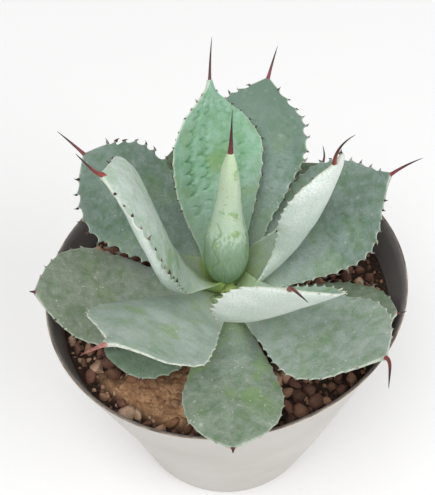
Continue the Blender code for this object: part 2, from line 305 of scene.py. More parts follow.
def heading_vector(turn, rise):
    return np.stack([np.cos(rise) * np.cos(turn), np.cos(rise) * np.sin(turn), np.sin(rise)], axis=-1)


class Blade:
    """The midrib, frames and widths of one leaf, from its rows of the two tables."""

    def __init__(self, row, look, number):
        for field, value in zip(SHAPE_FIELDS + LOOK_FIELDS, row + look):
            setattr(self, field, value)
        self.number = number
        self.random = np.random.default_rng(number)
        self.s = np.linspace(0.0, 1.0, BLADE_ROWS)
        self.frames()
        self.half_width = 0.5 * self.width * width_share(self.s, self.neck_width / self.width, self.blunt)
        self.teeth = {side: self.tooth_places() for side in (-1, 1)}
        self.depths = {side: self.random.uniform(0.45, 1.35, len(self.teeth[side])) for side in (-1, 1)}
        self.print_force = {side: self.random.uniform(0.15, 1.3, len(self.teeth[side]))
                            for side in (-1, 1)}
        self.print_lines = [(0.62, 0.13, 1.0, 0.012)]
        if number == 1:
            self.print_lines += [(0.28, 0.16, 0.8, 0.03)]
        self.curl_side, self.curl = CURLS.get(number, (1, 0.0))
        self.fold_side, self.fold, self.fold_turn = FOLDS.get(number, (1, 0.0, 0.0))

    def frames(self):
        s = self.s
        turn = np.radians(self.turn + self.swing * s * s)
        rise = np.radians(self.rise0 + (self.rise1 - self.rise0) * s + self.arch * 4 * s * (1 - s))
        roll = np.radians(self.roll0 + (self.roll1 - self.roll0) * s)
        forward = heading_vector(turn, rise)
        level = np.stack([-np.sin(turn), np.cos(turn), 0 * turn], axis=-1)
        over = np.cross(forward, level)
        self.forward = forward
        self.side = np.cos(roll)[:, None] * level + np.sin(roll)[:, None] * over
        self.upper = np.cos(roll)[:, None] * over - np.sin(roll)[:, None] * level
        root = math.radians(self.turn)
        reach = STEM_RADIUS - 0.8
        start = np.array([reach * math.cos(root), reach * math.sin(root), MIX_TOP + self.height])
        steps = 0.5 * (forward[1:] + forward[:-1]) * (self.length + 1.1) / (BLADE_ROWS - 1)
        self.middle = start + np.vstack([np.zeros(3), np.cumsum(steps, axis=0)])

    def tooth_places(self):
        """Places of the margin's teeth along s, evenly spaced along the margin itself."""
        run = np.hypot(np.gradient(self.s) * self.length, np.gradient(self.half_width))
        along = np.concatenate([[0.0], np.cumsum(run[1:])])
        first = np.interp(0.2, self.s, along) + self.random.uniform(0, TOOTH_PITCH)
        last = np.interp(0.965, self.s, along)
        places = [first]
        while places[-1] < last:
            places.append(places[-1] + TOOTH_PITCH * self.random.uniform(0.8, 1.22))
        return np.interp(np.array(places[:-1]), along, self.s)

    def scallop(self, side, s):
        """How far the margin draws in between its teeth."""
        places = self.teeth[side]
        depths = self.depths[side]
        k = np.clip(np.searchsorted(places, s) - 1, 0, len(places) - 2)
        share = (s - places[k]) / (places[k + 1] - places[k])
        inside = (share >= 0) & (share <= 1)
        arc = np.where(inside, 4 * share * (1 - share), 0.0) ** 0.8
        edge = np.minimum(share, 1 - share) * (places[k + 1] - places[k]) * self.length
        cusp = np.where(inside, np.exp(-(edge / 0.8) ** 2), 0.0)
        growth = np.clip((s - 0.12) / 0.3, 0, 1)
        return growth * self.scallop_depth * (arc * depths[k] - 0.6 * cusp)

    def section(self, u):
        """Surface points, normals and half widths for one column at u (-1 to 1) of every row."""
        s = self.s
        side = 1 if u >= 0 else -1
        cup = self.cup_left if side > 0 else self.cup_right
        cup = np.radians(cup) * (0.35 + 0.65 * np.sin(np.pi * s ** 0.8))
        # The base clasps the stem before the blade opens
        opening = np.clip(s / 0.24, 0, 1)
        opening = opening * opening * (3 - 2 * opening)
        cup = (1 - opening) * self.half_width / (STEM_RADIUS + 2.5) + opening * cup
        curl = math.radians(self.curl) * np.clip((1 - s) / 0.16, 0, 1) * np.clip(s / 0.3, 0, 1)
        curl = curl if side == self.curl_side else 0 * s
        fold = self.fold * np.clip((s - 0.16) / 0.3, 0, 1) * np.clip((0.98 - s) / 0.2, 0, 1)
        fold = fold if side == self.fold_side else 0 * s
        # The midline of the section bends by its length from the midrib, and the margin cuts it short
        edge_share = max((abs(u) - 0.82) / 0.18, 0.0) ** 1.3
        reach = self.half_width + fold - self.scallop(side, s) * edge_share
        steps = np.linspace(0.0, abs(u), 41)
        share = np.minimum(reach[:, None] * steps / self.half_width[:, None], 1.0)
        past = np.maximum(reach[:, None] * steps - self.half_width[:, None], 0.0)
        rolled = np.clip((share - CURL_START) / (1 - CURL_START), 0, 1) ** 2
        bend = cup[:, None] * share + curl[:, None] * rolled
        bend = bend + math.radians(self.fold_turn) * np.clip(past / 3.2, 0, 1)
        across = side * reach * trapezium(np.cos(bend), steps)
        rise = reach * trapezium(np.sin(bend), steps)
        last = bend[:, -1]
        point = self.middle + across[:, None] * self.side + rise[:, None] * self.upper
        normal = np.cos(last)[:, None] * self.upper - side * np.sin(last)[:, None] * self.side
        return point, normal, reach

    def half_thickness(self, u):
        s = self.s
        middle = BLADE_THICKNESS * (1 - 0.28 * s) - 0.8 * np.clip(s - 0.7, 0, 1)
        middle = middle + 1.4 * np.clip(1 - s / 0.3, 0, 1) ** 2
        body = MARGIN_THICKNESS + (middle - MARGIN_THICKNESS) * (1 - abs(u) ** 2.2)
        rounding = math.sqrt(max(1 - ((abs(u) - 0.9) / 0.1) ** 2, 0.0)) if abs(u) > 0.9 else 1.0
        return 0.5 * body * (0.12 + 0.88 * rounding)

    def print_marks(self, u):
        """Depth share of the scalloped prints that the neighbours left while the leaf was in the bud."""
        s = self.s
        side = 1 if u >= 0 else -1
        total = 0 * s
        for line, wave, strength, shift in self.print_lines:
            places = self.teeth[side] * 0.97 + shift
            k = np.clip(np.searchsorted(places, s) - 1, 0, len(places) - 2)
            share = np.clip((s - places[k]) / (places[k + 1] - places[k]), 0, 1)
            edge = line - wave * (4 * share * (1 - share)) ** 0.7
            away = (abs(u) - edge) * self.half_width
            groove = np.exp(-(away / 0.55) ** 2)
            shelf = np.where(away > 0, np.clip(1 - away / 3.5, 0, 1), 0)
            cusp = np.minimum(share, 1 - share) * (places[k + 1] - places[k]) * self.length
            nick = np.exp(-(cusp / 0.5) ** 2 - ((away - 0.6) / 1.1) ** 2)
            force = 1.4 * strength * self.print_force[side][k] * (0.75 + 0.25 * side)
            total = total + force * (0.8 * groove + 0.3 * shelf + 0.6 * nick)
        fade = np.clip((s - 0.25) / 0.2, 0, 1) * np.clip((0.93 - s) / 0.1, 0, 1)
        return fade * total


def trapezium(values, steps):
    """Sum each row of values over the steps."""
    return ((values[:, 1:] + values[:, :-1]) * 0.5 * np.diff(steps)).sum(axis=1)


def column_places():
    """Columns across the blade, closer together towards the thin margins."""
    t = np.linspace(-1, 1, BLADE_COLUMNS)
    return np.sign(t) * (1 - (1 - np.abs(t)) ** 1.45)


def ripple(points_mm, scale, depth, seed):
    """Small smooth swells of a fleshy surface, in millimetres along the normal."""
    shift = Vector((seed * 7.3, seed * 3.1, seed * 5.7))
    return np.array([depth * noise.noise(Vector(p) * scale + shift) for p in points_mm])

def make_leaf(blade, material):
    """One leaf as a closed mesh, with the values that its skin's pattern reads."""
    name = f"leaf_{blade.number:02d}"
    columns = column_places()
    tops, bottoms, edges, prints, reaches = [], [], [], [], []
    for u in columns:
        point, normal, reach = blade.section(u)
        half = blade.half_thickness(u)
        mark = blade.print_marks(u)
        swell = ripple(point, 0.11, 0.4, blade.number) + ripple(point, 0.035, 0.9, blade.number + 40)
        swell = swell * np.clip(blade.s / 0.2, 0, 1)
        dent = ripple(point, 0.3, 0.12, blade.number + 20)
        tops.append(point + normal * (half + swell + dent - blade.prints * mark)[:, None])
        bottoms.append(point - normal * (half - swell - 0.5 * blade.prints * mark)[:, None])
        edges.append((1 - abs(u)) * reach)
        prints.append(mark)
        reaches.append(u * reach)
    ring = np.stack(tops + bottoms[::-1], axis=1)
    edge = np.stack(edges + edges[::-1], axis=1)
    across = np.stack(reaches + reaches[::-1], axis=1)
    mark = np.stack(prints + [0.6 * p for p in prints[::-1]], axis=1)
    count = ring.shape[1]
    points = np.vstack([ring.reshape(-1, 3), ring[0].mean(axis=0), ring[-1].mean(axis=0)])
    obj = mesh_object(name, points, close_tube(0, BLADE_ROWS, count, len(points) - 2), [material])
    outward(obj)
    along = np.repeat(blade.s, count)
    outer = np.tile(np.repeat([0.0, 1.0], len(columns)), BLADE_ROWS)
    # Each face of each leaf has its own depth in the skin's pattern, so no two look alike
    skin = np.stack([across.ravel(), along * blade.length, outer * 40.0 + blade.number * 90.0], axis=-1)
    point_values(obj, along=[*along, 0.0, 1.0], edge_mm=[*edge.ravel(), 0.0, 0.0],
                 print_mark=[*mark.ravel(), 0.0, 0.0], outer=[*outer, 0.5, 0.5],
                 skin_mm=np.vstack([skin, (0, 0, 0), (0, blade.length, 0)]))
    finish_piece(obj, "leaf_skin", name)


# ---- spines and teeth ----

def spine_path(blade, rows):
    """The end spine's middle line: it carries the blade's tip on and bends as it goes."""
    rise = math.radians(blade.rise1)
    turn = math.radians(blade.turn + blade.swing)
    t = np.linspace(0, 1, rows)
    gain = 1 - (1 - t) ** (6 if blade.number in QUICK_SPINES else 1)
    forward = heading_vector(turn + math.radians(blade.spine_swing) * gain,
                             rise + math.radians(blade.spine_bend) * gain)
    steps = 0.5 * (forward[1:] + forward[:-1]) * blade.spine_length / (rows - 1)
    middle = blade.middle[-1] + np.vstack([np.zeros(3), np.cumsum(steps, axis=0)])
    return middle, forward, t


def make_spines(blades, bud_tip, material):
    """All end spines in one mesh: horny, flat-topped at the foot and needle-sharp at the point."""
    rows, count = 26, 14
    points, faces, run, redness = [], [], [], []
    for blade in blades:
        middle, forward, t = spine_path(blade, rows)
        foot_rows = 9
        back = np.linspace(0.975, 0.998, foot_rows)
        foot, foot_forward = [np.stack([np.interp(back, blade.s, line[:, k]) for k in range(3)], axis=1)
                              for line in (blade.middle, blade.forward)]
        middle, forward = np.vstack([foot, middle]), np.vstack([foot_forward, forward])
        base = SPINE_RADIUS * (0.75 + 0.3 * min(blade.redness, 1.0))
        shaft = base * (0.72 * (1 - t) ** 0.8 + 0.16 * np.exp(-t * 8)) + 0.05
        foot_width = np.minimum(np.interp(back, blade.s, blade.half_width) * 0.9,
                                np.linspace(0.2, 1.0, foot_rows) * shaft[0] * 1.08)
        wide = np.concatenate([foot_width, shaft])
        deep = np.concatenate([np.linspace(0.5, 1.0, foot_rows) * shaft[0], shaft * (0.9 + 0.1 * t)])
        side0 = blade.side[-1]
        for k in range(len(middle)):
            out = side0 - forward[k] * np.dot(side0, forward[k])
            out = out / np.linalg.norm(out)
            up = np.cross(forward[k], out)
            for i in range(count):
                angle = 2 * math.pi * i / count
                groove = 1 - 0.35 * math.exp(-((angle - math.pi / 2) / 0.5) ** 2)
                points.append(middle[k] + out * (wide[k] * math.cos(angle))
                              + up * (deep[k] * groove * math.sin(angle)))
            run.extend([k / (len(middle) - 1)] * count)
            redness.extend([blade.redness] * count)
        first = len(points) - len(middle) * count
        faces += close_tube(first, len(middle), count, len(points))
        points += [middle[0], middle[-1] + forward[-1] * 0.15]
        run.extend([0.0, 1.0])
        redness.extend([blade.redness] * 2)
    bud_middle, bud_radius = bud_tip
    first = len(points)
    for k, (centre, radius) in enumerate(zip(bud_middle, bud_radius)):
        for i in range(count):
            angle = 2 * math.pi * i / count
            points.append(centre + radius * np.array([math.cos(angle), math.sin(angle), 0.0]))
        run.extend([0.15 + 0.85 * k / (len(bud_middle) - 1)] * count)
    faces += close_tube(first, len(bud_middle), count, len(points))
    points += [bud_middle[0], bud_middle[-1] + np.array([0.02, 0.1, 0.5])]
    run.extend([0.15, 1.0])
    redness.extend([BUD_SPINE_REDNESS] * (len(run) - len(redness)))
    obj = mesh_object("end_spines", np.array(points), faces, [material])
    outward(obj)
    point_values(obj, run=run, redness=redness)
    finish_piece(obj, "leaf_skin")


def tooth_tree(material):
    """Geometry Nodes: a hooked tooth on each point, aimed and sized by the point's values."""
    tree, add, given = new_growth("margin_teeth", TOOTH)
    cone = add("GeometryNodeMeshCone", {
        "Vertices": 8, "Side Segments": 5, "Radius Top": 0.00003, "Radius Bottom": given["Tooth Radius"],
        "Depth": given["Tooth Length"]})
    # The hook: a sideways sweep that grows with the square of the height
    height = add("ShaderNodeSeparateXYZ", [add("GeometryNodeInputPosition")]).outputs["Z"]
    share = add("ShaderNodeMath", [height, given["Tooth Length"]], operation="DIVIDE")
    bow = add("ShaderNodeMath", [share, 2.0], operation="POWER")
    sweep = add("ShaderNodeMath", [bow, 0.0007], operation="MULTIPLY")
    offset = add("ShaderNodeCombineXYZ", {"X": sweep})
    hook = add("GeometryNodeSetPosition", {"Geometry": cone, "Offset": offset})
    aim, ahead = [add("GeometryNodeInputNamedAttribute", {"Name": name}, data_type="FLOAT_VECTOR")
                  for name in ("aim", "ahead")]
    size = add("GeometryNodeInputNamedAttribute", {"Name": "size"}, data_type="FLOAT")
    turned = add("FunctionNodeAlignRotationToVector", {"Vector": aim}, axis="Z")
    hooked = add("FunctionNodeAlignRotationToVector", {"Rotation": turned, "Vector": ahead}, axis="X",
                 pivot_axis="Z")
    dots = add("GeometryNodeMeshToPoints", {"Mesh": given["Geometry"]})
    stand = add("GeometryNodeInstanceOnPoints", {"Points": dots, "Instance": hook, "Rotation": hooked,
                                                 "Scale": size})
    end_growth(add, add("GeometryNodeRealizeInstances", [stand]), material)
    return tree


def make_teeth(blades, material):
    """A row of small teeth along both margins of every leaf."""
    places, aims, aheads, sizes, paleness = [], [], [], [], []
    for blade in blades:
        for side in (-1, 1):
            point, normal, _ = blade.section(float(side))
            inner, _, _ = blade.section(0.9 * side)
            random = np.random.default_rng(blade.number * 10 + side)
            for s in blade.teeth[side]:
                k = int(round(s * (BLADE_ROWS - 1)))
                outwards = point[k] - inner[k]
                outwards = outwards / np.linalg.norm(outwards)
                ahead = blade.forward[k]
                lean = outwards + 0.35 * ahead + 0.15 * random.normal(size=3)
                lean = lean / np.linalg.norm(lean)
                places.append(point[k] - lean * 0.25)
                aims.append(lean)
                aheads.append(ahead * random.choice([-1.0, 1.0, 1.0]))
                growth = np.clip((s - 0.15) / 0.35, 0.45, 1.0)
                sizes.append(growth * random.uniform(0.7, 1.25) * blade.tooth_length)
                paleness.append(np.clip(blade.tooth_paleness + 0.25 * random.normal(), 0, 1))
    obj = mesh_object("margin_teeth", places, [])
    point_values(obj, aim=aims, ahead=aheads, size=sizes, paleness=paleness)
    grow(obj, tooth_tree(material), TOOTH)
    finish_piece(obj, "leaf_skin")


# ---- bud and stem ----

def bud_axis(height):
    return np.array([-1.2 + 0.022 * height, 0.14 * height, STEM_TOP + height])


def make_bud(material):
    """The furled bud: one leaf rolled round the others, with its free edge laid over in a long spiral."""
    rows, count = 150, 96
    heights = np.linspace(0.3, BUD_HEIGHT, rows)
    radii = smooth_curve(BUD_PROFILE, heights)
    points, along, marks, skin = [], [], [], []
    for height, radius in zip(heights, radii):
        share = height / BUD_HEIGHT
        fold = math.radians(250 + 75 * share)
        centre = bud_axis(height)
        for i in range(count):
            angle = 2 * math.pi * i / count
            behind = (angle - fold) % (2 * math.pi)
            lap = 0.55 * math.exp(-behind / 0.5) * min(1.0, share * 4) * min(1.0, (1 - share) * 3)
            place = Vector((math.cos(angle) * 1.2, math.sin(angle) * 1.2, height * 0.09))
            swell = 0.25 * noise.noise(place)
            phase = (height / 5.2) % 1.0
            line = 0.95 + 0.16 * (4 * phase * (1 - phase)) ** 0.7
            printed = math.exp(-(((behind - line) * radius) / 0.45) ** 2) * min(1.0, share * 3)
            printed *= share < 0.8
            second = ((angle - 4.3 + 0.5 * share) * radius + 1.6 * math.sin(height * 0.5)) / 0.4
            printed += 0.8 * math.exp(-second ** 2) * (0.1 < share < 0.55)
            r = radius + lap + swell - 0.30 * printed
            points.append(centre + np.array([r * math.cos(angle), r * math.sin(angle), 0.0]))
            along.append(share)
            marks.append(printed)
            skin.append((behind * radius, height, 900.0))
    points += [bud_axis(0.0), bud_axis(BUD_HEIGHT + 0.5)]
    obj = mesh_object("centre_bud", points, close_tube(0, rows, count, len(points) - 2), [material])
    outward(obj)
    point_values(obj, along=along + [0.0, 1.0], print_mark=marks + [0.0, 0.0],
                 skin_mm=skin + [(0, 0, 900.0), (0, 70, 900.0)])
    finish_piece(obj, "bud_skin", "centre_bud")


def bud_tip():
    """The bud spine's middle line and its radius along it."""
    heights = np.linspace(BUD_SPINE_FOOT, BUD_POINT, 22)
    middle = np.array([bud_axis(h) for h in heights])
    t = (heights - BUD_SPINE_FOOT) / (BUD_POINT - BUD_SPINE_FOOT)
    radius = 1.35 * (0.7 * (1 - t) ** 1.1 + 0.3 * np.exp(-t * 6)) + 0.06
    return middle, radius


def make_stem(material):
    """Short stem with the shrunken bases of old leaves round it, in low rings."""
    rows, count = 60, 64
    foot = MIX_TOP - 12.0
    points, band = [], []
    for z in np.linspace(foot, STEM_TOP + 1.2, rows):
        for i in range(count):
            angle = 2 * math.pi * i / count
            ring = 0.45 * math.sin(z * 2.1 + 1.2 * math.sin(angle * 3 + z * 0.4))
            crown = max(z - STEM_TOP, 0.0)
            r = STEM_RADIUS - 0.6 + ring - 1.4 * crown
            r += 0.4 * noise.noise(Vector((math.cos(angle) * 2, math.sin(angle) * 2, z * 0.2)))
            points.append((r * math.cos(angle), r * math.sin(angle), z))
            band.append((z - foot) / (STEM_TOP - foot))
    points += [(0, 0, foot), (0, 0, STEM_TOP + 1.2)]
    obj = mesh_object("stem_skin", points, close_tube(0, rows, count, len(points) - 2), [material])
    outward(obj)
    point_values(obj, band=band + [0.0, 1.0])
    finish_piece(obj, "stem_bark", "stem")


# ---- pot ----

def oval(height, angle):
    """How far the pushed rim stands in or out of round."""
    fade = np.clip(1 - (POT_HEIGHT - height) / RIM_OVAL_FADE, 0, 1)
    fade = fade * fade * (3 - 2 * fade)
    return 1 + RIM_OVAL * fade * np.cos(2 * (angle - RIM_OVAL_TURN))


def wall_radius(height):
    return POT_FOOT_RADIUS + (POT_RIM_RADIUS - POT_FOOT_RADIUS) * height / POT_HEIGHT


def make_pot(outside, inside, rim):
    """A thin wall moulded in two layers, pale outside and black inside, with a bare edge at the rim."""
    count = 192
    angles = 2 * np.pi * np.arange(count) / count
    foot, top = wall_radius(0), wall_radius(POT_HEIGHT)
    # Radius, height and material: 0 outside, 1 inside, 2 the bare edge
    profile = [(24.0, 0.0, 0), (foot - 2.0, 0.0, 0), (foot - 0.6, 0.3, 0)]
    profile += [(wall_radius(z), z, 0) for z in np.linspace(1.2, POT_HEIGHT - 6.2, 34)]
    profile += [(wall_radius(POT_HEIGHT - 5.4) + 0.15, POT_HEIGHT - 5.3, 0)]
    profile += [(wall_radius(z) + 0.3, z, 0) for z in np.linspace(POT_HEIGHT - 4.8, POT_HEIGHT - 0.7, 6)]
    profile += [(top + 0.1, POT_HEIGHT - 0.2, 0), (top - 0.15, POT_HEIGHT, 2), (top - 0.5, POT_HEIGHT - 0.1, 2)]
    profile += [(wall_radius(z) - POT_WALL, z, 1) for z in np.linspace(POT_HEIGHT - 0.7, POT_FLOOR + 1, 30)]
    profile += [(foot - POT_WALL - 1.5, POT_FLOOR, 1), (24.0, POT_FLOOR, 1)]
    rings, slots = [], []
    for radius, height, slot in profile:
        r = radius * oval(height, angles)
        wobble = 0.12 * np.sin(3 * angles + 0.7) * height / POT_HEIGHT
        rings.append(np.stack([(r + wobble) * np.cos(angles), (r + wobble) * np.sin(angles),
                               np.full(count, height)], axis=1))
        slots.append(slot)
    points = np.vstack(rings + [[[0, 0, 0]], [[0, 0, POT_FLOOR]]])
    faces = close_tube(0, len(rings), count, len(points) - 2)
    face_slots = []
    for row in range(len(rings) - 1):
        face_slots += [slots[row + 1] if slots[row] != 2 else (2 if slots[row + 1] == 2 else 1)] * count
    face_slots += [0] * count + [1] * count
    obj = mesh_object("pot_shell", points, faces, [outside, inside, rim], face_slots)
    outward(obj)
    cut_drain_holes(obj)
    finish_piece(obj, "pot_plastic", "pot")


def cut_drain_holes(pot):
    """Open the drain holes through the pot's floor."""
    points, faces = [], []
    for hole in range(DRAIN_HOLES):
        turn = 2 * math.pi * hole / DRAIN_HOLES
        x, y = DRAIN_RING_RADIUS * math.cos(turn), DRAIN_RING_RADIUS * math.sin(turn)
        first = len(points)
        for height in (-4.0, POT_FLOOR + 4.0):
            for i in range(32):
                angle = 2 * math.pi * i / 32
                points.append((x + DRAIN_HOLE_RADIUS * math.cos(angle),
                               y + DRAIN_HOLE_RADIUS * math.sin(angle), height))
        faces += close_tube(first, 2, 32, len(points))
        points += [(x, y, -4.0), (x, y, POT_FLOOR + 4.0)]
    cutter = mesh_object("drain_cutter", points, faces)
    outward(cutter)
    cut = pot.modifiers.new("drain", "BOOLEAN")
    cut.operation, cut.solver, cut.object = "DIFFERENCE", "EXACT", cutter
    settle(pot, cut)
    bpy.data.objects.remove(cutter, do_unlink=True)


# ---- mix ----

def clay_share(x, y):
    """1 where the mix has set into a lump of clay, 0 where it is loose grains."""
    angle = math.atan2(y, x)
    away = abs((angle - CLAY_TURN + math.pi) % (2 * math.pi) - math.pi)
    r = math.hypot(x, y)
    edge = 0.12 * noise.noise(Vector((x, y, 0)) * 0.08)
    share = 1 - min(max((away + edge - 0.36) / 0.14, 0.0), 1.0)
    wall = (wall_radius(MIX_TOP) - POT_WALL) * oval(MIX_TOP, angle)
    return share * min(max((r - 20) / 8, 0.0), 1.0) * min(max((wall - 4.5 - r + 14 * edge) / 4, 0.0), 1.0)


def mix_height(x, y):
    """The mix is loose and low round the stem, and lumpy where it has set."""
    r = math.hypot(x, y)
    dip = -2.6 * math.exp(-((r - 6) / 9) ** 2)
    place = Vector((x, y, 0.0))
    swell = 0.9 * noise.noise(place * 0.045) - 0.5
    lumps = 0.0
    for scale, depth in ((0.16, 1.2), (0.38, 1.3), (0.9, 0.9)):
        lumps += depth * abs(noise.noise(place * scale + Vector((0, 0, 4))))
    # Pebbles caught in the clay show as low domes
    for cell, depth in ((4.6, 1.3), (2.3, 1.0)):
        nearest = noise.voronoi(place / cell + Vector((0, 0, 7.3 * cell)))[0][0]
        lumps += depth * max(0.62 - nearest, 0.0)
    clay = clay_share(x, y)
    return MIX_TOP - 0.6 + dip + swell + clay * (0.4 + 1.6 * lumps) + (1 - clay) * (0.4 * lumps - 1.2)


def make_mix(material):
    """The bed of fine mix under and between the grains, lumpy where it has set as clay."""
    rows, count = ((130, 560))
    angles = 2 * np.pi * np.arange(count) / count
    inset = POT_WALL + MIX_CLEARANCE
    points, clay = [], []
    for k in range(rows):
        share = k / (rows - 1)
        for angle in angles:
            edge = (wall_radius(MIX_TOP) - inset) * oval(MIX_TOP, angle)
            r = 5.0 + (edge - 5.0) * share
            x, y = r * math.cos(angle), r * math.sin(angle)
            points.append((x, y, mix_height(x, y)))
            clay.append(clay_share(x, y))
    for z in np.linspace(MIX_TOP - 4.0, POT_FLOOR + MIX_CLEARANCE, 6):
        r = (wall_radius(z) - inset) * oval(z, angles)
        points += [(a, b, z) for a, b in zip(r * np.cos(angles), r * np.sin(angles))]
        clay += [0.0] * count
    hub = len(points)
    points += [(0, 0, MIX_TOP - 4.0), (0, 0, POT_FLOOR + MIX_CLEARANCE)]
    obj = mesh_object("mix_bed", points, close_tube(0, rows + 6, count, hub), [material])
    outward(obj)
    point_values(obj, clay=clay + [0.0, 0.0])
    finish_piece(obj, "mix_grit", "potting_mix")


def grain_tree(material):
    """Geometry Nodes: rounded grains of fired clay strewn over a patch, each turned, sized and toned."""
    tree, add, given = new_growth("clay_grains", LARGE_GRAINS)
    loose = add("GeometryNodeInputNamedAttribute", {"Name": "loose"}, data_type="FLOAT")
    strewn = add("GeometryNodeDistributePointsOnFaces", {
        "Mesh": given["Geometry"], "Distance Min": given["Spacing"], "Density Max": given["Density"],
        "Density Factor": loose, "Seed": given["Seed"]}, distribute_method="POISSON")
    ball = add("GeometryNodeMeshIcoSphere", {"Radius": 1.0, "Subdivisions": 2})
    turn = add("FunctionNodeRandomValue", {"Max": (6.28, 6.28, 6.28), "Seed": 3}, data_type="FLOAT_VECTOR")
    squash = add("FunctionNodeRandomValue", {"Min": (0.8, 0.7, 0.55), "Max": (1.25, 1.05, 0.9), "Seed": 7},
                 data_type="FLOAT_VECTOR")
    size = add("FunctionNodeRandomValue", {2: given["Smallest"], 3: given["Largest"], "Seed": 5},
               data_type="FLOAT")
    tone = add("FunctionNodeRandomValue", {2: 0.0, 3: 1.0, "Seed": 11}, data_type="FLOAT")
    scale = add("ShaderNodeVectorMath", {0: squash, "Scale": size}, operation="SCALE")
    stand = add("GeometryNodeInstanceOnPoints", {"Points": strewn, "Instance": ball, "Rotation": turn,
                                                 "Scale": scale})
    toned = add("GeometryNodeStoreNamedAttribute", {"Geometry": stand, "Name": "tone", "Value": tone},
                data_type="FLOAT", domain="INSTANCE")
    real = add("GeometryNodeRealizeInstances", [toned])
    # Noise by place wears each grain out of round
    pits = add("ShaderNodeTexNoise", {"Vector": add("GeometryNodeInputPosition"), "Scale": 260.0,
                                      "Detail": 3.0})
    centred = add("ShaderNodeVectorMath", [pits.outputs["Color"], (0.5, 0.5, 0.5)], operation="SUBTRACT")
    shift = add("ShaderNodeVectorMath", {0: centred, "Scale": given["Roughness"]}, operation="SCALE")
    end_growth(add, add("GeometryNodeSetPosition", {"Geometry": real, "Offset": shift}), material)
    return tree


def grain_patch(name, lift, clay_grains, reach_share):
    """The surface that grains are strewn on, with a value for how loose the mix is at each point."""
    rows, count = 60, 160
    angles = 2 * np.pi * np.arange(count) / count
    inset = POT_WALL + MIX_CLEARANCE + 2.2
    points, loose = [], []
    for k in range(rows):
        for angle in angles:
            edge = (wall_radius(MIX_TOP) - inset) * oval(MIX_TOP, angle)
            r = 11.0 + (edge * reach_share - 11.0) * k / (rows - 1)
            x, y = r * math.cos(angle), r * math.sin(angle)
            clay = clay_share(x, y)
            points.append((x, y, mix_height(x, y) + lift - 1.1 * clay))
            loose.append(clay * clay_grains + (1 - clay))
    obj = mesh_object(name, points, ring_faces(rows, count))
    point_values(obj, loose=loose)
    return obj


def make_grains(material):
    """Two sizes of grain: a loose layer of large ones, and small ones that fill the gaps."""
    tree = grain_tree(material)
    for name, lift, clay_grains, reach_share, values in (("clay_grains", 0.9, 0.30, 1.0, LARGE_GRAINS),
                                                         ("small_grains", -0.3, 0.8, 1.015, SMALL_GRAINS)):
        grains = grain_patch(name, lift, clay_grains, reach_share)
        grow(grains, tree, values)
        finish_piece(grains, "mix_grit")


# ---- materials ----

def new_material(name):
    """A material and what adds nodes to it."""
    material = bpy.data.materials.new(name)
    material.use_nodes = True
    return material, functools.partial(add_node, material.node_tree)


def tint(colour, red, green, blue, lift=0.0):
    """A colour with its linear channels scaled and lifted."""
    return tuple(min(1.0, c * k + lift) for c, k in zip(linear(colour), (red, green, blue))) + (1.0,)


def share_of(add, *spans):
    """How strongly something shows: the product of spans, each a number, a pattern, or a pattern
    with the low and the high it runs between and the least and the most it then gives."""
    share = None
    for span in spans:
        part = add("ShaderNodeMapRange", span) if isinstance(span, tuple) else span
        share = part if share is None else add("ShaderNodeMath", [share, part], operation="MULTIPLY",
                                               use_clamp=True)
    return share


def coat(add, below, colour, *spans):
    """A colour laid over what is below it, as strongly as its spans say."""
    return add("ShaderNodeMix", {0: share_of(add, *spans), 6: below, 7: colour}, data_type="RGBA")


def dress(material, inputs, *bumps):
    """Feed the shader its inputs and a chain of bumps: strength, depth in millimetres, height."""
    tree, normal = material.node_tree, {}
    for strength, depth, height in bumps:
        normal = {"Normal": add_node(tree, "ShaderNodeBump", {"Strength": strength, "Distance": depth * MM,
                                                              "Height": height, **normal})}
    for name, value in {**inputs, **normal}.items():
        feed(tree, tree.nodes["Principled BSDF"].inputs[name], value)
    return material


